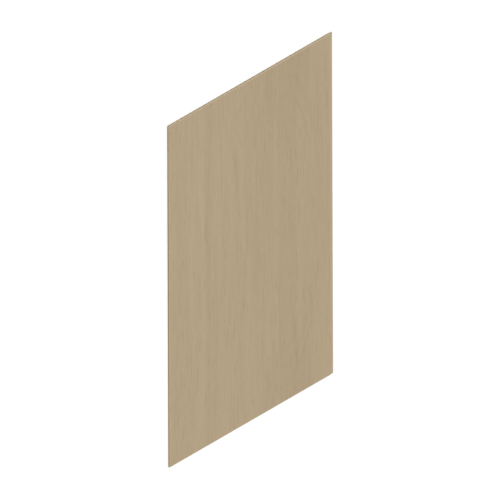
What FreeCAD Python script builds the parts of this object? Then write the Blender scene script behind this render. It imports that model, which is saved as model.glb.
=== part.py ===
"""Wood-plastic composite wall panel.

One extruded board with a tongue along its +X long edge and the matching groove along its -X long edge.
It lies flat with its decorative face up: width along X, length along Y, thickness along Z.
The origin is the centre of the underside of the whole board, tongue included. Sizes are in millimetres.
"""
import FreeCAD, Part
import os

import Sketcher

os.makedirs("parts", exist_ok=True)
doc = FreeCAD.newDocument("wall_panel")

# Driving dimensions: the cell's name, its value and what it is.
SIZES = [
    ("cover_width", 1200, "width of the face, which is what one board covers on the wall"),
    ("board_length", 2200, "length of the board"),
    ("board_thickness", 12, "from the back to the decorative face"),
    ("tongue_thickness", 4, "thickness of the tongue, which is centred in the thickness of the board"),
    ("tongue_reach", 20, "how far the tongue stands out of the +X long edge"),
    ("tongue_lead", 0.6, "45 degree lead-in along both corners of the tongue"),
    ("side_play", 0.2, "play on each side of a tongue in the groove"),
    ("end_play", 1, "play between the end of a tongue and the bottom of the groove"),
    ("face_bevel", 2, "45 degree bevel round the decorative face"),
]
sheet = doc.addObject("Spreadsheet::Sheet", "sizes")
for row, (name, value, meaning) in enumerate(SIZES, start=1):
    sheet.set(f"A{row}", name)
    sheet.set(f"B{row}", str(value))
    sheet.set(f"C{row}", meaning)
    sheet.setAlias(f"B{row}", name)
doc.recompute()


def size(name):
    """The value of one named cell."""
    return float(getattr(sheet, name))


panel = doc.addObject("PartDesign::Body", "panel")
panel.Label = "panel"
planes = {feature.Role: feature for feature in panel.Origin.OriginFeatures}

# The cross-section, looking along the length of the board: X to the right and Z up.
section = panel.newObject("Sketcher::SketchObject", "section")
section.AttachmentSupport = [(planes["XZ_Plane"], "")]
section.MapMode = "FlatFace"

half = (size("cover_width") + size("tongue_reach")) / 2
face_edge = size("cover_width") - half
groove_end = size("tongue_reach") + size("end_play") - half
tongue_low = (size("board_thickness") - size("tongue_thickness")) / 2
tongue_high = tongue_low + size("tongue_thickness")
groove_low = tongue_low - size("side_play")
groove_high = tongue_high + size("side_play")
lead = size("tongue_lead")
top = size("board_thickness")

# Each line of the outline is named after what it forms and starts at its own corner.
OUTLINE = {
    "back": (-half, 0),
    "lower_shoulder": (face_edge, 0),
    "tongue_back": (face_edge, tongue_low),
    "lower_lead": (half - lead, tongue_low),
    "tongue_end": (half, tongue_low + lead),
    "upper_lead": (half, tongue_high - lead),
    "tongue_front": (half - lead, tongue_high),
    "upper_shoulder": (face_edge, tongue_high),
    "face": (face_edge, top),
    "front_lip": (-half, top),
    "groove_front": (-half, groove_high),
    "groove_end": (groove_end, groove_high),
    "groove_back": (groove_end, groove_low),
    "rear_lip": (-half, groove_low),
}
line = {name: number for number, name in enumerate(OUTLINE)}
corners = [FreeCAD.Vector(x, z, 0) for x, z in OUTLINE.values()]
for start, end in zip(corners, corners[1:] + corners[:1]):
    section.addGeometry(Part.LineSegment(start, end), False)

START, END = 1, 2
ORIGIN = (-1, START)
for number in line.values():
    section.addConstraint(Sketcher.Constraint("Coincident", number, END, (number + 1) % len(line), START))
for name in ("tongue_back", "tongue_front", "face", "groove_front", "groove_back"):
    section.addConstraint(Sketcher.Constraint("Horizontal", line[name]))
for name in ("lower_shoulder", "tongue_end", "upper_shoulder", "front_lip", "groove_end", "rear_lip"):
    section.addConstraint(Sketcher.Constraint("Vertical", line[name]))
# The back lies on the X axis, and both lips and both shoulders are in line.
for name in ("back", "lower_shoulder"):
    section.addConstraint(Sketcher.Constraint("PointOnObject", line[name], START, -1))
section.addConstraint(Sketcher.Constraint("Vertical", line["front_lip"], START, line["back"], START))
section.addConstraint(Sketcher.Constraint("Vertical", line["upper_shoulder"], START, line["lower_shoulder"], START))


def dimension(kind, name, start, end, formula):
    """A named distance between two corners of the section, tied to the sheet."""
    first, second = (section.getPoint(*corner) for corner in (start, end))
    now = second.x - first.x if kind == "DistanceX" else second.y - first.y
    index = section.addConstraint(Sketcher.Constraint(kind, *start, *end, now))
    section.renameConstraint(index, name)
    section.setExpression(f"Constraints.{name}", formula)


def corner(name):
    """The corner at which a line of the outline starts."""
    return line[name], START


dimension("DistanceX", "left_of_centre", corner("back"), ORIGIN, "(sizes.cover_width + sizes.tongue_reach) / 2")
dimension("DistanceX", "cover_width", corner("back"), corner("lower_shoulder"), "sizes.cover_width")
dimension("DistanceX", "tongue_reach", corner("tongue_back"), corner("tongue_end"), "sizes.tongue_reach")
dimension("DistanceX", "groove_depth", corner("rear_lip"), corner("groove_back"),
          "sizes.tongue_reach + sizes.end_play")
dimension("DistanceY", "thickness", corner("back"), corner("front_lip"), "sizes.board_thickness")
dimension("DistanceY", "tongue_from_back", corner("lower_shoulder"), corner("tongue_back"),
          "(sizes.board_thickness - sizes.tongue_thickness) / 2")
dimension("DistanceY", "tongue_thickness", corner("tongue_back"), corner("upper_shoulder"),
          "sizes.tongue_thickness")
dimension("DistanceY", "groove_from_back", corner("back"), corner("rear_lip"),
          "(sizes.board_thickness - sizes.tongue_thickness) / 2 - sizes.side_play")
dimension("DistanceY", "groove_width", corner("groove_back"), corner("groove_end"),
          "sizes.tongue_thickness + 2 * sizes.side_play")
for name, inner, outer in (("lower", "lower_lead", "tongue_end"), ("upper", "tongue_front", "upper_lead")):
    dimension("DistanceX", f"{name}_lead_across", corner(inner), corner(outer), "sizes.tongue_lead")
dimension("DistanceY", "lower_lead_up", corner("lower_lead"), corner("tongue_end"), "sizes.tongue_lead")
dimension("DistanceY", "upper_lead_up", corner("upper_lead"), corner("tongue_front"), "sizes.tongue_lead")

# The board: the section extruded along the whole length, equally to both sides of the origin.
board = panel.newObject("PartDesign::Pad", "board")
board.Profile = section
board.SideType = "Symmetric"
board.setExpression("Length", "sizes.board_length")
doc.recompute()

# A bevel round the four edges of the decorative face, mitred at the corners.
face = max(board.Shape.Faces, key=lambda candidate: candidate.CenterOfMass.z)
face_edges = [f"Edge{number}" for number, edge in enumerate(board.Shape.Edges, start=1)
              if any(edge.isSame(side) for side in face.Edges)]
bevel = panel.newObject("PartDesign::Chamfer", "bevel")
bevel.Base = (board, face_edges)
bevel.setExpression("Size", "sizes.face_bevel")
panel.Tip = bevel
panel.Placement = FreeCAD.Placement(FreeCAD.Vector(0, 0, 0), FreeCAD.Rotation())
doc.recompute()

# Nothing is written unless every object is sound.
for item in doc.Objects:
    if "Invalid" in item.State or "Error" in item.State:
        raise RuntimeError(f"{item.Name} did not compute: {item.State}")
if len(face_edges) != 4 or not section.FullyConstrained:
    raise RuntimeError("the section or the face of the board is not fully defined")
for piece in (panel,):
    shape = piece.Shape
    if shape.isNull() or not shape.isValid() or len(shape.Solids) != 1:
        raise RuntimeError(f"{piece.Label} is not one valid solid")
    print(piece.Label, "volume", round(shape.Volume / 1e9, 6), "m3", shape.BoundBox)
    shape.exportStep(f"parts/{piece.Label}.step")
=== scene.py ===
"""Wood-plastic composite wall panel: its finished board, and the floor, light and camera.

The board lies flat with its decorative face up, in metres: its width is along X, its length along Y
and its thickness along Z.
"""
import math

import bpy
from mathutils import Matrix, Vector


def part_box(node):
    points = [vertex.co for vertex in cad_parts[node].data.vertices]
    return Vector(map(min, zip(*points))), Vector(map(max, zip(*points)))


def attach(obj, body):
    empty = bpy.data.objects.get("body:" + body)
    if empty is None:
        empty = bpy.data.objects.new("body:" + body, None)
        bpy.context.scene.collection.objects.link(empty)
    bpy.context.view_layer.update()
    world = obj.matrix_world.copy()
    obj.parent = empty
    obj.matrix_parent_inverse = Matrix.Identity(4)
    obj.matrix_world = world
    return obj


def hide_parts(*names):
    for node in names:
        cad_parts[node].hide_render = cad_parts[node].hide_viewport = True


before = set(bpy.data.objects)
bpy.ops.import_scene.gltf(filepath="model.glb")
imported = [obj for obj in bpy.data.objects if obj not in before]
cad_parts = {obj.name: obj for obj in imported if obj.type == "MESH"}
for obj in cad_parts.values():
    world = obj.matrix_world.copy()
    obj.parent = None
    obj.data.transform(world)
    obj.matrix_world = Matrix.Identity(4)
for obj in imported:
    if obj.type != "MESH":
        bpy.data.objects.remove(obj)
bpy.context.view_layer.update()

bl_info = {
    "name": "Wood-Plastic Composite Wall Panel",
    "version": (1, 0, 0),
    "blender": (4, 5, 0),
    "location": "3D View > Sidebar > Wall Panel",
    "description": "Makes a tongue-and-groove wall panel with an embossed wood-grain face",
    "category": "Add Mesh",
}

LOW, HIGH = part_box("panel")
MM = 0.001


# ---------------------------------------------------------------- settings

class WallPanelSizes(bpy.types.PropertyGroup):
    """Sizes of the board's section and of the relief in its face."""

    overall_width: bpy.props.FloatProperty(
        name="Overall width", description="Width of the board with its tongue",
        default=HIGH.x - LOW.x, unit="LENGTH")
    length: bpy.props.FloatProperty(
        name="Length", description="Length of the board", default=HIGH.y - LOW.y, unit="LENGTH")
    thickness: bpy.props.FloatProperty(
        name="Thickness", description="From the back to the decorative face",
        default=HIGH.z - LOW.z, unit="LENGTH")
    tongue_reach: bpy.props.FloatProperty(
        name="Tongue reach",
        description="How far the tongue stands out of the right long edge",
        default=20 * MM, unit="LENGTH")
    tongue_thickness: bpy.props.FloatProperty(
        name="Tongue thickness", description="Thickness of the tongue, centred in the board",
        default=4 * MM, unit="LENGTH")
    tongue_lead: bpy.props.FloatProperty(
        name="Tongue lead-in", description="Bevel along both corners of the tongue",
        default=0.6 * MM, unit="LENGTH")
    side_play: bpy.props.FloatProperty(
        name="Side play",
        description="Play on each side of a tongue in the groove",
        default=0.2 * MM, unit="LENGTH")
    end_play: bpy.props.FloatProperty(
        name="End play",
        description="Play between the end of a tongue and the bottom of the groove",
        default=1 * MM, unit="LENGTH")
    bevel: bpy.props.FloatProperty(
        name="Face bevel", description="45 degree bevel round the decorative face",
        default=2 * MM, unit="LENGTH")
    emboss: bpy.props.FloatProperty(
        name="Emboss depth", description="Depth of the grain pressed into the face",
        default=0.12 * MM, unit="LENGTH")
    columns: bpy.props.IntProperty(
        name="Columns", description="Faces across the decorative face", default=480, min=2)
    rows: bpy.props.IntProperty(
        name="Rows", description="Faces along the board", default=180, min=4)
    seed: bpy.props.IntProperty(
        name="Grain seed", description="Picks the piece of grain that is pressed in", default=7)


class WallPanelColours(bpy.types.PropertyGroup):
    """Colours of the board, written as sRGB hex."""

    foil: bpy.props.StringProperty(
        name="Foil", description="Ground tone of the printed wood grain", default="AF9C7E")
    foil_dark: bpy.props.StringProperty(
        name="Foil, dark grain", description="Darkest tone of the grain", default="988468")
    foil_light: bpy.props.StringProperty(
        name="Foil, light grain", description="Lightest tone of the grain", default="C1AF91")
    core: bpy.props.StringProperty(
        name="Core", description="Composite where it is cut or moulded", default="B8A78C")
    core_fleck: bpy.props.StringProperty(
        name="Core, wood flour", description="Wood flour in the composite", default="9A866A")
    # The end bevel colour is a painted highlight. It is paler than the core, so that the bevels on
    # the cut ends look lit.
    bevel: bpy.props.StringProperty(
        name="End bevel", description="Bevel along each cut end, painted paler as a highlight", default="C6B69B")
    # Painted shade. The dark bars on the cut ends stand for the shade inside hollow chambers that
    # the board is not given.
    chamber_shade: bpy.props.StringProperty(
        name="Chamber shade", description="Painted shade of hollow chambers in the cut ends",
        default="6B583C")


class WallPanelStage(bpy.types.PropertyGroup):
    """The floor, the light and the view."""

    floor: bpy.props.StringProperty(
        name="Floor", description="Colour of the matte floor", default="F4F4F3")
    sky: bpy.props.FloatProperty(
        name="Sky", description="The sky's share of the light on a level surface",
        default=0.55, min=0, max=1, subtype="FACTOR")
    turn: bpy.props.FloatProperty(
        name="Turn", description="How far the view is turned towards the left edge",
        default=math.radians(44.78), subtype="ANGLE")
    rise: bpy.props.FloatProperty(
        name="Rise", description="How far the view is raised towards the far end",
        default=math.radians(35.26), subtype="ANGLE")
    lean: bpy.props.FloatProperty(
        name="Lean", description="How far the view is leant sideways",
        default=math.radians(0.19), subtype="ANGLE")


def linear(colour, alpha=1.0):
    """An sRGB hex colour as linear red, green, blue and alpha."""
    channels = [int(colour[i:i + 2], 16) / 255 for i in (0, 2, 4)]
    return [c / 12.92 if c <= 0.04045 else ((c + 0.055) / 1.055) ** 2.4 for c in channels] + [alpha]


def add(tree, kind, inputs=None, **settings):
    """Adds a node, gives it its settings, and sets or links its inputs.

    Where a node is given as an input's value, it stands for its first output that is in use.
    """
    node = tree.nodes.new(kind)
    node.location = (200 * (len(tree.nodes) % 12), -260 * (len(tree.nodes) // 12))
    for name, value in settings.items():
        setattr(node, name, value)
    for key, value in (inputs or {}).items():
        if isinstance(value, bpy.types.Node):
            value = next(output for output in value.outputs if output.enabled)
        if isinstance(value, bpy.types.NodeSocket):
            tree.links.new(value, node.inputs[key])
        else:
            node.inputs[key].default_value = value
    return node


def new_material(name):
    """An empty node material and its tree."""
    material = bpy.data.materials.new(name)
    material.use_nodes = True
    material.node_tree.nodes.clear()
    return material, material.node_tree


# ---------------------------------------------------------------- materials

def printed_foil(colours, sizes):
    """PVC foil printed with pale oak grain and hot-pressed to the face.

    The foil is between matt and satin and nearly even in tone. It has long soft streaks along the
    board, thinly scattered dark and pale dashes, and one broad cathedral figure right of the
    middle. All the grain runs along Y.
    """
    material, tree = new_material("printed_pvc_wood_grain_foil")
    place = add(tree, "ShaderNodeTexCoord").outputs["Object"]

    # The streaks wander sideways by a centimetre or so, a few times over the length of the board.
    sway = 24 * MM
    slow = add(tree, "ShaderNodeMapping", {"Vector": place, "Scale": (1 / 0.5, 1 / 0.9, 1)})
    wander = add(tree, "ShaderNodeTexNoise", {"Vector": slow, "Scale": 1.0, "Detail": 1.0})
    wander = add(tree, "ShaderNodeVectorMath", {0: wander.outputs["Color"], 1: (0.5, 0.5, 0.5)},
                 operation="SUBTRACT")
    wander = add(tree, "ShaderNodeVectorMath", {0: wander, 1: (sway, 0, 0)}, operation="MULTIPLY")
    grain_place = add(tree, "ShaderNodeVectorMath", {0: place, 1: wander}, operation="ADD")
    across = add(tree, "ShaderNodeSeparateXYZ", {"Vector": grain_place})

    # Long grain: the width of a streak, its length, and how much it lightens or darkens.
    layers = [
        (180 * MM, 3.0, 0.16),     # bands of tone
        (42 * MM, 1.3, 0.24),      # growth rings cut along their length
        (15 * MM, 0.36, 0.12),     # bundles of fibre, drawn coarser than real so that they show
        (7 * MM, 0.12, 0.08),      # single fibres, drawn coarser too
        (1.2 * MM, 0.05, 0.45),    # single fibres at about their real size
    ]
    grain = None
    for number, (width, length, strength) in enumerate(layers):
        spot = add(tree, "ShaderNodeMapping", {
            "Vector": grain_place, "Location": (3.7 * number, 1.3 * number, 0),
            "Scale": (1 / width, 1 / length, 1)})
        noise = add(tree, "ShaderNodeTexNoise", {"Vector": spot, "Scale": 1.0, "Detail": 2.0})
        signed = add(tree, "ShaderNodeMapRange", {
            "Value": noise.outputs["Fac"], "From Min": 0.25, "From Max": 0.75,
            "To Min": -strength, "To Max": strength})
        grain = signed if grain is None else add(
            tree, "ShaderNodeMath", {0: grain, 1: signed}, operation="ADD")

    # Dashes along the grain, thinly scattered: dark pores and paler rays drawn about 6 mm wide, so
    # that they show from afar, and pores at their real size. Each gives width, length, share of the
    # noise left bare, and depth of tone. Each file of dashes is slid along by its own amount, so
    # that they don't fall into rows.
    dashes = [
        (6 * MM, 130 * MM, 0.65, -2.2),
        (6 * MM, 80 * MM, 0.66, 0.7),
        (0.7 * MM, 9 * MM, 0.60, -1.6),
    ]
    softness, slide_lengths = 0.16, 14
    for number, (width, length, bare, depth) in enumerate(dashes):
        spot = add(tree, "ShaderNodeMapping", {
            "Vector": grain_place, "Location": (5.3 * number, 0, 0), "Scale": (0.8 / width, 0, 0)})
        slide = add(tree, "ShaderNodeTexNoise", {"Vector": spot, "Scale": 1.0, "Detail": 1.0})
        slide = add(tree, "ShaderNodeCombineXYZ", {"Y": slide.outputs["Fac"]})
        spot = add(tree, "ShaderNodeVectorMath", {
            0: slide, 1: (0, slide_lengths * length, 0), 2: grain_place}, operation="MULTIPLY_ADD")
        spot = add(tree, "ShaderNodeMapping", {"Vector": spot, "Scale": (1 / width, 1 / length, 1)})
        noise = add(tree, "ShaderNodeTexNoise", {"Vector": spot, "Scale": 1.0, "Detail": 0.0})
        dash = add(tree, "ShaderNodeMapRange", {
            "Value": noise.outputs["Fac"], "From Min": bare, "From Max": bare + softness,
            "To Min": 0.0, "To Max": depth})
        grain = add(tree, "ShaderNodeMath", {0: grain, 1: dash}, operation="ADD")

    # Tone across the width, from the left edge to the right, as share of the width and height of
    # the curve: one pale streak beside a dark one near the left, and a little darker to the right.
    width = sizes.overall_width
    share = add(tree, "ShaderNodeMapRange", {
        "Value": across.outputs["X"], "From Min": -width / 2, "From Max": width / 2})
    bands = add(tree, "ShaderNodeFloatCurve", {"Value": share})
    curve = bands.mapping.curves[0]
    stops = [(0.0, 0.52), (0.16, 0.51), (0.21, 0.57), (0.235, 0.44), (0.27, 0.50), (0.45, 0.50),
             (0.56, 0.46), (0.62, 0.48), (0.655, 0.53), (0.69, 0.49), (0.80, 0.47), (0.90, 0.48),
             (1.0, 0.49)]
    curve.points[0].location, curve.points[1].location = stops[0], stops[-1]
    for stop in stops[1:-1]:
        curve.points.new(*stop)
    bands.mapping.update()
    swing = 1.6
    bands = add(tree, "ShaderNodeMapRange", {"Value": bands, "To Min": -swing, "To Max": swing})
    grain = add(tree, "ShaderNodeMath", {0: grain, 1: bands}, operation="ADD")

    # The cathedral figure, right of the middle. Its heart is a soft dark band that widens towards
    # both ends.
    heart, middle_half, end_half, heart_depth = 0.215 * width, 0.085, 0.19, -0.36
    off = add(tree, "ShaderNodeMath", {0: across.outputs["X"], 1: heart}, operation="SUBTRACT")
    off = add(tree, "ShaderNodeMath", {0: off}, operation="ABSOLUTE")
    along = add(tree, "ShaderNodeMath", {0: across.outputs["Y"]}, operation="ABSOLUTE")
    spread = add(tree, "ShaderNodeMapRange", {
        "Value": along, "From Min": 0.55, "From Max": 1.0,
        "To Min": middle_half, "To Max": end_half}, interpolation_type="SMOOTHSTEP")
    off = add(tree, "ShaderNodeMath", {0: off, 1: spread}, operation="DIVIDE")
    dark = add(tree, "ShaderNodeMapRange", {
        "Value": off, "From Min": 0.5, "From Max": 1.1, "To Min": heart_depth, "To Max": 0.0},
        interpolation_type="SMOOTHSTEP")
    grain = add(tree, "ShaderNodeMath", {0: grain, 1: dark}, operation="ADD")

    # Round it, a few growth rings close in a long lens: broken lines, clearest to the right and
    # near the tips.
    half_width, half_length = 0.24, 0.90
    ring_pitch, raggedness, ring_depth = 0.15, 0.16, -0.30     # as shares of the lens, and in tone
    lens = add(tree, "ShaderNodeMapping", {
        "Vector": grain_place, "Location": (heart - 0.02, 0, 0),
        "Scale": (half_width, half_length, 1)}, vector_type="TEXTURE")
    flat = add(tree, "ShaderNodeVectorMath", {0: lens, 1: (1, 1, 0)}, operation="MULTIPLY")
    ring = add(tree, "ShaderNodeVectorMath", {0: flat}, operation="LENGTH").outputs["Value"]
    spot = add(tree, "ShaderNodeMapping", {"Vector": place, "Scale": (1 / 0.09, 1 / 0.16, 1)})
    ragged = add(tree, "ShaderNodeTexNoise", {"Vector": spot, "Scale": 1.0, "Detail": 3.0})
    ring = add(tree, "ShaderNodeMath", {0: ragged.outputs["Fac"], 1: raggedness, 2: ring},
               operation="MULTIPLY_ADD")
    wave = add(tree, "ShaderNodeMath", {0: ring, 1: 2 * math.pi / ring_pitch}, operation="MULTIPLY")
    wave = add(tree, "ShaderNodeMath", {0: wave}, operation="COSINE")
    wave = add(tree, "ShaderNodeMapRange", {
        "Value": wave, "From Min": 0.3, "From Max": 1.0, "To Min": 0.0, "To Max": ring_depth},
        interpolation_type="SMOOTHSTEP")
    sides = add(tree, "ShaderNodeSeparateXYZ", {"Vector": flat})
    right = add(tree, "ShaderNodeMapRange", {
        "Value": sides.outputs["X"], "From Min": -0.3, "From Max": 0.5,
        "To Min": 0.15, "To Max": 1.0}, interpolation_type="SMOOTHSTEP")
    tips = add(tree, "ShaderNodeMapRange", {"Value": along, "From Min": 0.3, "From Max": 0.65},
               interpolation_type="SMOOTHSTEP")
    inner = add(tree, "ShaderNodeMapRange", {"Value": ring, "From Min": 0.75, "From Max": 0.95},
                interpolation_type="SMOOTHSTEP")
    outer = add(tree, "ShaderNodeMapRange", {"Value": ring, "From Min": 1.35, "From Max": 1.15},
                interpolation_type="SMOOTHSTEP")
    for fade in (right, tips, inner, outer):
        wave = add(tree, "ShaderNodeMath", {0: wave, 1: fade}, operation="MULTIPLY")
    grain = add(tree, "ShaderNodeMath", {0: grain, 1: wave}, operation="ADD")

    # All of it together, from the darkest tone through the ground tone to the lightest.
    full = 2.5
    share = add(tree, "ShaderNodeMapRange", {"Value": grain, "From Min": -full, "From Max": full})
    ramp = add(tree, "ShaderNodeValToRGB", {"Fac": share})
    ramp.color_ramp.elements[0].color = linear(colours.foil_dark)
    ramp.color_ramp.elements[1].color = linear(colours.foil_light)
    ramp.color_ramp.elements.new(0.5).color = linear(colours.foil)

    # The print is under a matt lacquer, a little glossier where the grain is pale.
    rough = add(tree, "ShaderNodeMapRange", {
        "Value": share, "From Min": 0.3, "From Max": 0.7, "To Min": 0.62, "To Max": 0.52})
    bump = add(tree, "ShaderNodeBump", {"Height": grain, "Strength": 0.25, "Distance": 0.05 * MM})
    shader = add(tree, "ShaderNodeBsdfPrincipled", {
        "Base Color": ramp.outputs["Color"], "Roughness": rough, "Normal": bump,
        "IOR": 1.5, "Specular IOR Level": 0.35})
    add(tree, "ShaderNodeOutputMaterial", {"Surface": shader})
    return material


def composite_core(colours, sizes):
    """Foamed wood-plastic composite, extruded with its tongue and groove, then sawn at the ends.

    It is matt and one pale tan throughout, with a faint cloudiness from the foam and draw lines
    along its length. Its specks of wood flour are under a millimetre long, drawn about two so that
    they show.
    """
    material, tree = new_material("extruded_foamed_wood_plastic_composite")
    place = add(tree, "ShaderNodeTexCoord").outputs["Object"]
    soft = 0.3 * MM     # how far one tone of a milled or sawn part runs into the next

    # Wood flour: about half of the cells hold a speck.
    speck = 2 * MM
    flour = add(tree, "ShaderNodeTexVoronoi", {
        "Vector": place, "Scale": 1 / speck, "Randomness": 1.0})
    fleck = add(tree, "ShaderNodeMapRange", {
        "Value": flour.outputs["Distance"], "From Min": 0.32, "From Max": 0.12,
        "To Min": 0.0, "To Max": 1.0})
    chance = add(tree, "ShaderNodeSeparateColor", {"Color": flour.outputs["Color"]})
    chance = add(tree, "ShaderNodeMapRange", {
        "Value": chance.outputs["Red"], "From Min": 0.5, "From Max": 0.9,
        "To Min": 0.0, "To Max": 0.9})
    fleck = add(tree, "ShaderNodeMath", {0: fleck, 1: chance}, operation="MULTIPLY")

    # The foam clouds the tone in patches of about 30 mm.
    cloud = add(tree, "ShaderNodeTexNoise", {
        "Vector": place, "Scale": 1 / (30 * MM), "Detail": 3.0})
    cloud = add(tree, "ShaderNodeMapRange", {
        "Value": cloud.outputs["Fac"], "From Min": 0.3, "From Max": 0.7,
        "To Min": 0.0, "To Max": 0.16})
    share = add(tree, "ShaderNodeMath", {0: fleck, 1: cloud}, operation="MAXIMUM")

    # Faint lines along the board where the die drew the moulded surfaces, about 3 mm apart.
    line, run = 3 * MM, 300 * MM
    spot = add(tree, "ShaderNodeMapping", {"Vector": place, "Scale": (1 / line, 1 / run, 1 / line)})
    lines = add(tree, "ShaderNodeTexNoise", {"Vector": spot, "Scale": 1.0, "Detail": 3.0})
    drawn = add(tree, "ShaderNodeMapRange", {
        "Value": lines.outputs["Fac"], "From Min": 0.5, "From Max": 0.75,
        "To Min": 0.0, "To Max": 0.4})
    share = add(tree, "ShaderNodeMath", {0: share, 1: drawn}, operation="ADD")
    tone = add(tree, "ShaderNodeMix", {
        "Factor": share, 6: linear(colours.core), 7: linear(colours.core_fleck)}, data_type="RGBA")

    # The bevel along each cut end is painted paler than the core. This is a painted highlight that
    # stands for light falling on the bevel.
    where = add(tree, "ShaderNodeSeparateXYZ", {"Vector": place})
    along = add(tree, "ShaderNodeMath", {0: where.outputs["Y"]}, operation="ABSOLUTE")
    end, foot = sizes.length / 2, sizes.thickness - sizes.bevel
    above = add(tree, "ShaderNodeMapRange", {
        "Value": where.outputs["Z"], "From Min": foot, "From Max": foot + soft})
    highlighted = add(tree, "ShaderNodeMapRange", {
        "Value": along, "From Min": end - sizes.bevel - soft, "From Max": end - sizes.bevel})
    highlighted = add(tree, "ShaderNodeMath", {0: highlighted, 1: above}, operation="MULTIPLY")
    tone = add(tree, "ShaderNodeMix", {
        "Factor": highlighted, 6: tone.outputs["Result"], 7: linear(colours.bevel)}, data_type="RGBA")

    # Painted shade on the cut ends, standing for the shade inside hollow chambers that the board is
    # not given. It is a soft dark bar every 34 mm or so across the width and a fainter one between,
    # no two quite alike, over a faint darkening of the whole end. The bars are 9 mm wide, so that
    # they show.
    half_bar, least_shade = 4.5 * MM, 0.12
    sawn = add(tree, "ShaderNodeMapRange", {
        "Value": along, "From Min": end - soft, "From Max": end - 0.1 * MM})
    spot = add(tree, "ShaderNodeMapping", {
        "Vector": place, "Scale": (1 / (25 * MM), 1 / (200 * MM), 1 / (12 * MM))})
    uneven = add(tree, "ShaderNodeTexNoise", {"Vector": spot, "Scale": 1.0, "Detail": 2.0})
    uneven = add(tree, "ShaderNodeMapRange", {
        "Value": uneven.outputs["Fac"], "From Min": 0.3, "From Max": 0.6,
        "To Min": 0.55, "To Max": 1.0})
    shade_share = None
    for pitch, depth in ((33.8 * MM, 1.0), (16.9 * MM, 0.6)):
        turn = add(tree, "ShaderNodeMath", {0: where.outputs["X"], 1: math.pi / pitch},
                   operation="MULTIPLY")
        turn = add(tree, "ShaderNodeMath", {0: turn}, operation="COSINE")
        turn = add(tree, "ShaderNodeMath", {0: turn}, operation="ABSOLUTE")
        bar = add(tree, "ShaderNodeMapRange", {
            "Value": turn, "From Min": math.cos(math.pi * half_bar / pitch), "From Max": 1.0,
            "To Min": 0.0, "To Max": depth}, interpolation_type="SMOOTHSTEP")
        shade_share = bar if shade_share is None else add(
            tree, "ShaderNodeMath", {0: shade_share, 1: bar}, operation="MAXIMUM")
    shade_share = add(tree, "ShaderNodeMath", {0: shade_share, 1: uneven}, operation="MULTIPLY")
    shade_share = add(tree, "ShaderNodeMath", {0: shade_share, 1: least_shade}, operation="MAXIMUM")
    shade_share = add(tree, "ShaderNodeMath", {0: shade_share, 1: sawn}, operation="MULTIPLY")
    tone = add(tree, "ShaderNodeMix", {
        "Factor": shade_share, 6: tone.outputs["Result"], 7: linear(colours.chamber_shade)}, data_type="RGBA")

    # The skin is finely pitted by the foam's cells, under a millimetre across.
    cell = 0.8 * MM
    foam = add(tree, "ShaderNodeTexNoise", {"Vector": place, "Scale": 1 / cell, "Detail": 2.0})
    height = add(tree, "ShaderNodeMath", {0: foam.outputs["Fac"], 1: lines.outputs["Fac"]},
                 operation="ADD")
    bump = add(tree, "ShaderNodeBump", {"Height": height, "Strength": 0.4, "Distance": 0.1 * MM})
    shader = add(tree, "ShaderNodeBsdfPrincipled", {
        "Base Color": tone.outputs["Result"], "Normal": bump, "Roughness": 0.75, "IOR": 1.5,
        "Specular IOR Level": 0.25})
    add(tree, "ShaderNodeOutputMaterial", {"Surface": shader})
    return material


# ---------------------------------------------------------------- the board

def section_outline(sizes):
    """The board's cross-section in the XZ plane, as a closed loop of points.

    It runs clockwise from the foot of the left bevel. The decorative face is split into even
    columns, and every other side is one straight edge.
    """
    half = sizes.overall_width / 2
    edge = half - sizes.tongue_reach
    top, bevel, lead = sizes.thickness, sizes.bevel, sizes.tongue_lead
    tongue_low = (sizes.thickness - sizes.tongue_thickness) / 2
    tongue_high = tongue_low + sizes.tongue_thickness
    groove_low, groove_high = tongue_low - sizes.side_play, tongue_high + sizes.side_play
    groove_end = sizes.tongue_reach + sizes.end_play - half
    first, last = bevel - half, edge - bevel
    face = [(first + (last - first) * column / sizes.columns, top)
            for column in range(sizes.columns + 1)]
    return [(-half, top - bevel)] + face + [
        (edge, top - bevel), (edge, tongue_high),
        (half - lead, tongue_high), (half, tongue_high - lead),
        (half, tongue_low + lead), (half - lead, tongue_low),
        (edge, tongue_low), (edge, 0), (-half, 0),
        (-half, groove_low), (groove_end, groove_low),
        (groove_end, groove_high), (-half, groove_high),
    ]


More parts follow.
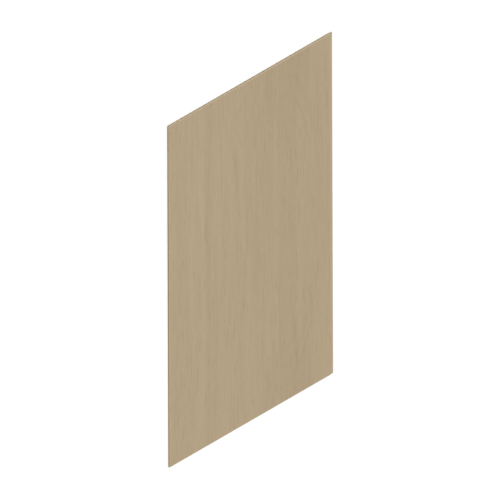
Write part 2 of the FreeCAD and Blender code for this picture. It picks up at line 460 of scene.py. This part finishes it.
def board_tree():
    """The geometry nodes that grow the board from its section.

    The section is repeated in rows along Y and skinned, and both ends are capped. The ends of the
    face are bevelled to meet the long bevels in a mitre, and the grain is pressed into the face.
    """
    tree = bpy.data.node_groups.new("Grow Board", "GeometryNodeTree")
    tree.interface.new_socket("Section", in_out="INPUT", socket_type="NodeSocketGeometry")
    for name in ("Length", "Thickness", "Bevel", "Face Left", "Face Right", "Emboss"):
        socket = tree.interface.new_socket(name, in_out="INPUT", socket_type="NodeSocketFloat")
        socket.subtype = "DISTANCE"
    for name in ("Rows", "Seed"):
        tree.interface.new_socket(name, in_out="INPUT", socket_type="NodeSocketInt")
    for name in ("Foil", "Core"):
        tree.interface.new_socket(name, in_out="INPUT", socket_type="NodeSocketMaterial")
    tree.interface.new_socket("Board", in_out="OUTPUT", socket_type="NodeSocketGeometry")
    given = add(tree, "NodeGroupInput").outputs

    # Rows of points: one at each end, and Rows + 1 spaced evenly between the two end bevels.
    half_length = add(tree, "ShaderNodeMath", {0: given["Length"], 1: 0.5}, operation="MULTIPLY")
    low_end = add(tree, "ShaderNodeMath", {0: half_length, 1: -1.0}, operation="MULTIPLY")
    inner = add(tree, "ShaderNodeMath", {0: half_length, 1: given["Bevel"]}, operation="SUBTRACT")
    rows = add(tree, "ShaderNodeMath", {0: given["Rows"], 1: 3.0}, operation="ADD")
    start = add(tree, "ShaderNodeMath", {0: inner, 1: -1.0}, operation="MULTIPLY")
    span = add(tree, "ShaderNodeMath", {0: inner, 1: 2.0}, operation="MULTIPLY")
    step = add(tree, "ShaderNodeMath", {0: span, 1: given["Rows"]}, operation="DIVIDE")

    # The skin: a grid whose columns go round the section and close on its first point.
    points = add(tree, "GeometryNodeAttributeDomainSize",
                 {"Geometry": given["Section"]}).outputs["Point Count"]
    around = add(tree, "ShaderNodeMath", {0: points, 1: 1.0}, operation="ADD")
    grid = add(tree, "GeometryNodeMeshGrid", {"Vertices X": around, "Vertices Y": rows})
    index = add(tree, "GeometryNodeInputIndex")
    quotient = add(tree, "ShaderNodeMath", {0: index, 1: rows}, operation="DIVIDE")
    column = add(tree, "ShaderNodeMath", {0: quotient}, operation="FLOOR")
    row = add(tree, "ShaderNodeMath", {0: index, 1: rows}, operation="MODULO")
    column = add(tree, "ShaderNodeMath", {0: column, 1: points}, operation="MODULO")
    here = add(tree, "GeometryNodeInputPosition")
    corner = add(tree, "GeometryNodeSampleIndex",
                 {"Geometry": given["Section"], "Value": here, "Index": column},
                 data_type="FLOAT_VECTOR", domain="POINT")
    corner = add(tree, "ShaderNodeSeparateXYZ", {"Vector": corner})
    row = add(tree, "ShaderNodeMath", {0: row, 1: -1.0}, operation="ADD")
    y = add(tree, "ShaderNodeMath", {0: row, 1: step, 2: start}, operation="MULTIPLY_ADD")
    y = add(tree, "ShaderNodeClamp", {"Value": y, "Min": low_end, "Max": half_length})
    place = add(tree, "ShaderNodeCombineXYZ",
                {"X": corner.outputs["X"], "Y": y, "Z": corner.outputs["Z"]})
    skin = add(tree, "GeometryNodeSetPosition", {"Geometry": grid, "Position": place})

    # Caps: the section laid down in XY, filled, and stood up again at each end.
    spot = add(tree, "ShaderNodeSeparateXYZ", {"Vector": here})
    laid = add(tree, "ShaderNodeCombineXYZ", {"X": spot.outputs["X"], "Y": spot.outputs["Z"]})
    flat = add(tree, "GeometryNodeSetPosition", {"Geometry": given["Section"], "Position": laid})
    loop = add(tree, "GeometryNodeMeshToCurve", {"Mesh": flat})
    cap = add(tree, "GeometryNodeFillCurve", {"Curve": loop}, mode="NGONS")
    low_place = add(tree, "ShaderNodeCombineXYZ",
                    {"X": spot.outputs["X"], "Y": low_end, "Z": spot.outputs["Y"]})
    low_cap = add(tree, "GeometryNodeSetPosition", {"Geometry": cap, "Position": low_place})
    high_place = add(tree, "ShaderNodeCombineXYZ",
                     {"X": spot.outputs["X"], "Y": half_length, "Z": spot.outputs["Y"]})
    high_cap = add(tree, "GeometryNodeSetPosition", {"Geometry": cap, "Position": high_place})
    high_cap = add(tree, "GeometryNodeFlipFaces", {"Mesh": high_cap})
    joined = add(tree, "GeometryNodeJoinGeometry")
    for part in (skin, low_cap, high_cap):
        tree.links.new(part.outputs[0], joined.inputs[0])
    solid = add(tree, "GeometryNodeMergeByDistance", {"Geometry": joined, "Distance": 0.001 * MM})

    # End bevels: nothing is higher than the foot of the bevel plus its distance from the end.
    away = add(tree, "ShaderNodeMath", {0: spot.outputs["Y"]}, operation="ABSOLUTE")
    from_end = add(tree, "ShaderNodeMath", {0: half_length, 1: away}, operation="SUBTRACT")
    foot = add(tree, "ShaderNodeMath", {0: given["Thickness"], 1: given["Bevel"]},
               operation="SUBTRACT")
    limit = add(tree, "ShaderNodeMath", {0: foot, 1: from_end}, operation="ADD")
    z = add(tree, "ShaderNodeMath", {0: spot.outputs["Z"], 1: limit}, operation="MINIMUM")
    place = add(tree, "ShaderNodeCombineXYZ",
                {"X": spot.outputs["X"], "Y": spot.outputs["Y"], "Z": z})
    bevelled = add(tree, "GeometryNodeSetPosition", {"Geometry": solid, "Position": place})

    # Emboss: streaks about 8 by 220 mm. They fade out over the last 8 mm before the bevels, so that
    # the arrises stay straight.
    streak_width, streak_length, margin, clear = 8 * MM, 220 * MM, 8 * MM, 0.5 * MM
    streak = add(tree, "ShaderNodeVectorMath", {
        0: here, 1: (1 / streak_width, 1 / streak_length, 1)}, operation="MULTIPLY")
    noise = add(tree, "ShaderNodeTexNoise",
                {"Vector": streak, "W": given["Seed"], "Scale": 1.0, "Detail": 2.0},
                noise_dimensions="4D")
    depth = add(tree, "ShaderNodeMapRange", {
        "Value": noise.outputs[0], "From Min": 0.45, "From Max": 0.75,
        "To Min": 0.0, "To Max": 1.0})
    from_left = add(tree, "ShaderNodeMath", {0: spot.outputs["X"], 1: given["Face Left"]},
                    operation="SUBTRACT")
    from_right = add(tree, "ShaderNodeMath", {0: given["Face Right"], 1: spot.outputs["X"]},
                     operation="SUBTRACT")
    from_bevel = add(tree, "ShaderNodeMath", {0: from_end, 1: given["Bevel"]}, operation="SUBTRACT")
    inset = add(tree, "ShaderNodeMath", {0: from_left, 1: from_right}, operation="MINIMUM")
    inset = add(tree, "ShaderNodeMath", {0: inset, 1: from_bevel}, operation="MINIMUM")
    fade = add(tree, "ShaderNodeMapRange", {
        "Value": inset, "From Min": clear, "From Max": margin, "To Min": 0.0, "To Max": -1.0},
        interpolation_type="SMOOTHSTEP")
    depth = add(tree, "ShaderNodeMath", {0: depth, 1: fade}, operation="MULTIPLY")
    depth = add(tree, "ShaderNodeMath", {0: depth, 1: given["Emboss"]}, operation="MULTIPLY")
    sunk = add(tree, "ShaderNodeCombineXYZ", {"Z": depth})
    near_top = add(tree, "ShaderNodeMath", {0: given["Thickness"], 1: 0.01 * MM},
                   operation="SUBTRACT")
    on_face = add(tree, "ShaderNodeMath", {0: spot.outputs["Z"], 1: near_top},
                  operation="GREATER_THAN")
    embossed = add(tree, "GeometryNodeSetPosition",
                   {"Geometry": bevelled, "Selection": on_face, "Offset": sunk})

    # The face is smooth-shaded, and every arris stays sharp.
    arris_angle = math.radians(20)
    smooth = add(tree, "GeometryNodeSetShadeSmooth", {"Geometry": embossed, "Shade Smooth": True},
                 domain="FACE")
    angle = add(tree, "GeometryNodeInputMeshEdgeAngle").outputs["Unsigned Angle"]
    arris = add(tree, "ShaderNodeMath", {0: angle, 1: arris_angle}, operation="GREATER_THAN")
    sharp = add(tree, "GeometryNodeSetShadeSmooth",
                {"Geometry": smooth, "Selection": arris, "Shade Smooth": False}, domain="EDGE")

    # The foil covers only the flat of the face: the bevels are cut through it.
    real = add(tree, "GeometryNodeRealizeInstances", {"Geometry": sharp})
    core = add(tree, "GeometryNodeSetMaterial", {"Geometry": real, "Material": given["Core"]})
    up = add(tree, "ShaderNodeSeparateXYZ", {"Vector": add(tree, "GeometryNodeInputNormal")})
    facing_up = add(tree, "ShaderNodeMath", {0: up.outputs["Z"], 1: 0.9}, operation="GREATER_THAN")
    above = add(tree, "ShaderNodeMath", {0: spot.outputs["Z"], 1: foot}, operation="GREATER_THAN")
    foiled = add(tree, "ShaderNodeMath", {0: facing_up, 1: above}, operation="MULTIPLY")
    foil = add(tree, "GeometryNodeSetMaterial",
               {"Geometry": core, "Selection": foiled, "Material": given["Foil"]})
    add(tree, "NodeGroupOutput", {"Board": foil})
    return tree


class WALLPANEL_OT_board(bpy.types.Operator):
    """Make the board: its section, its embossed foil face and its composite edges, ends and back"""

    bl_idname = "wallpanel.board"
    bl_label = "Board"

    def execute(self, context):
        sizes, colours = context.scene.wall_panel_sizes, context.scene.wall_panel_colours
        outline = section_outline(sizes)
        wire = bpy.data.meshes.new("section")
        count = len(outline)
        wire.from_pydata([(x, 0, z) for x, z in outline],
                         [(i, (i + 1) % count) for i in range(count)], [])
        section = bpy.data.objects.new("section", wire)
        context.collection.objects.link(section)

        tree = board_tree()
        grow = section.modifiers.new("Grow Board", "NODES")
        grow.node_group = tree
        values = {
            "Length": sizes.length, "Thickness": sizes.thickness, "Bevel": sizes.bevel,
            "Face Left": sizes.bevel - sizes.overall_width / 2,
            "Face Right": sizes.overall_width / 2 - sizes.tongue_reach - sizes.bevel,
            "Emboss": sizes.emboss, "Rows": sizes.rows, "Seed": sizes.seed,
            "Foil": printed_foil(colours, sizes), "Core": composite_core(colours, sizes),
        }
        for socket in tree.interface.items_tree:
            if socket.in_out == "INPUT" and socket.name in values:
                grow[socket.identifier] = values[socket.name]

        evaluated = section.evaluated_get(context.evaluated_depsgraph_get())
        mesh = bpy.data.meshes.new_from_object(evaluated)
        section.modifiers.remove(grow)
        bpy.data.objects.remove(section)
        if not mesh.polygons:
            raise RuntimeError("the board has no faces")
        mesh.name = "wall_board"
        board = bpy.data.objects.new("wall_board", mesh)
        context.collection.objects.link(board)
        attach(board, "root")
        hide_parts("panel")
        return {"FINISHED"}


# ---------------------------------------------------------------- floor, light and camera

class WALLPANEL_OT_stage(bpy.types.Operator):
    """Make the pale floor, the soft light and the camera that looks down on the board"""

    bl_idname = "wallpanel.stage"
    bl_label = "Floor, Light and Camera"

    def execute(self, context):
        scene, stage = context.scene, context.scene.wall_panel_stage
        scene.view_settings.view_transform = "Standard"

        # A matt floor, half a millimetre below the board. The camera, reflections and clear things
        # see it a little lifted, so that it is white where no shadow falls.
        lifted = 0.14
        floor_material, tree = new_material("matte_white_floor")
        colour = linear(stage.floor)
        matte = add(tree, "ShaderNodeBsdfDiffuse", {"Color": colour})
        path = add(tree, "ShaderNodeLightPath")
        lift = path.outputs["Is Camera Ray"]
        for ray in ("Is Glossy Ray", "Is Transmission Ray"):
            lift = add(tree, "ShaderNodeMath", {0: lift, 1: path.outputs[ray]}, operation="MAXIMUM")
        lift = add(tree, "ShaderNodeMath", {0: lift, 1: lifted}, operation="MULTIPLY")
        glow = add(tree, "ShaderNodeEmission", {"Color": (1, 1, 1, 1), "Strength": lift})
        both = add(tree, "ShaderNodeAddShader", {0: matte, 1: glow})
        add(tree, "ShaderNodeOutputMaterial", {"Surface": both})
        reach, drop = 8.0, 0.5 * MM
        plane = bpy.data.meshes.new("floor")
        corners = [(-reach, -reach, -drop), (reach, -reach, -drop),
                   (reach, reach, -drop), (-reach, reach, -drop)]
        plane.from_pydata(corners, [], [(0, 1, 2, 3)])
        plane.materials.append(floor_material)
        floor = bpy.data.objects.new("floor", plane)
        context.collection.objects.link(floor)

        # The sky gives rather more than half of the light, and shows as white.
        world = bpy.data.worlds.new("soft_white_studio")
        scene.world = world
        world.use_nodes = True
        tree = world.node_tree
        tree.nodes.clear()
        path = add(tree, "ShaderNodeLightPath")
        seen = path.outputs["Is Camera Ray"]
        for ray in ("Is Glossy Ray", "Is Transmission Ray"):
            seen = add(tree, "ShaderNodeMath", {0: seen, 1: path.outputs[ray]}, operation="MAXIMUM")
        strength = add(tree, "ShaderNodeMapRange",
                       {"Value": seen, "To Min": stage.sky, "To Max": 1.0})
        background = add(tree, "ShaderNodeBackground",
                         {"Color": (1, 1, 1, 1), "Strength": strength})
        add(tree, "ShaderNodeOutputWorld", {"Surface": background})

        # One broad, soft key light from above the left edge and the far end. It gives the rest of
        # the light on a level surface.
        lamp = bpy.data.lights.new("key", "SUN")
        toward = Vector((-0.36, 0.50, 0.78)).normalized()
        lamp.energy = (1 - stage.sky) * math.pi / toward.z
        lamp.angle = math.radians(40)
        key = bpy.data.objects.new("key", lamp)
        key.rotation_euler = toward.to_track_quat("Z", "Y").to_euler()
        context.collection.objects.link(key)

        # A parallel view of the face, the left long edge and the far end, with the length upright.
        # It is aimed a little to the left of the board's centre and below it, and the board fills
        # 87% of its height.
        turn, rise = stage.turn, stage.rise
        fill, aim_left, aim_down, distance = 0.8715, 2 * MM, 2 * MM, 5
        back = Vector((-math.sin(turn) * math.cos(rise), math.sin(rise),
                       math.cos(turn) * math.cos(rise)))
        right = Vector((math.cos(turn), 0, math.sin(turn)))
        up = back.cross(right)
        heights = [Vector((x, y, z)).dot(up)
                   for x in (LOW.x, HIGH.x) for y in (LOW.y, HIGH.y) for z in (LOW.z, HIGH.z)]
        camera_data = bpy.data.cameras.new("camera")
        camera_data.type = "ORTHO"
        camera_data.ortho_scale = (max(heights) - min(heights)) / fill
        camera_data.clip_end = 50
        camera = bpy.data.objects.new("camera", camera_data)
        axes = Matrix((right, up, back)).transposed() @ Matrix.Rotation(-stage.lean, 3, "Z")
        aim = (LOW + HIGH) / 2 - aim_left * right - aim_down * up
        camera.matrix_world = Matrix.Translation(aim + distance * back) @ axes.to_4x4()
        context.collection.objects.link(camera)
        scene.camera = camera
        return {"FINISHED"}


class WALLPANEL_PT_sidebar(bpy.types.Panel):
    """The wall panel's settings and makers"""

    bl_idname = "WALLPANEL_PT_sidebar"
    bl_label = "Wall Panel"
    bl_space_type = "VIEW_3D"
    bl_region_type = "UI"
    bl_category = "Wall Panel"

    def draw(self, context):
        for group in (context.scene.wall_panel_sizes, context.scene.wall_panel_colours,
                      context.scene.wall_panel_stage):
            box = self.layout.box()
            for name in group.bl_rna.properties.keys():
                if name not in ("rna_type", "name"):
                    box.prop(group, name)
        for operator in (WALLPANEL_OT_board, WALLPANEL_OT_stage):
            self.layout.operator(operator.bl_idname)


CLASSES = (WallPanelSizes, WallPanelColours, WallPanelStage,
           WALLPANEL_OT_board, WALLPANEL_OT_stage, WALLPANEL_PT_sidebar)


def register():
    for cls in CLASSES:
        bpy.utils.register_class(cls)
    bpy.types.Scene.wall_panel_sizes = bpy.props.PointerProperty(type=WallPanelSizes)
    bpy.types.Scene.wall_panel_colours = bpy.props.PointerProperty(type=WallPanelColours)
    bpy.types.Scene.wall_panel_stage = bpy.props.PointerProperty(type=WallPanelStage)


def unregister():
    del bpy.types.Scene.wall_panel_stage
    del bpy.types.Scene.wall_panel_colours
    del bpy.types.Scene.wall_panel_sizes
    for cls in reversed(CLASSES):
        bpy.utils.unregister_class(cls)


def main():
    register()
    bpy.ops.wallpanel.stage()
    bpy.ops.wallpanel.board()


if __name__ == "__main__":
    main()
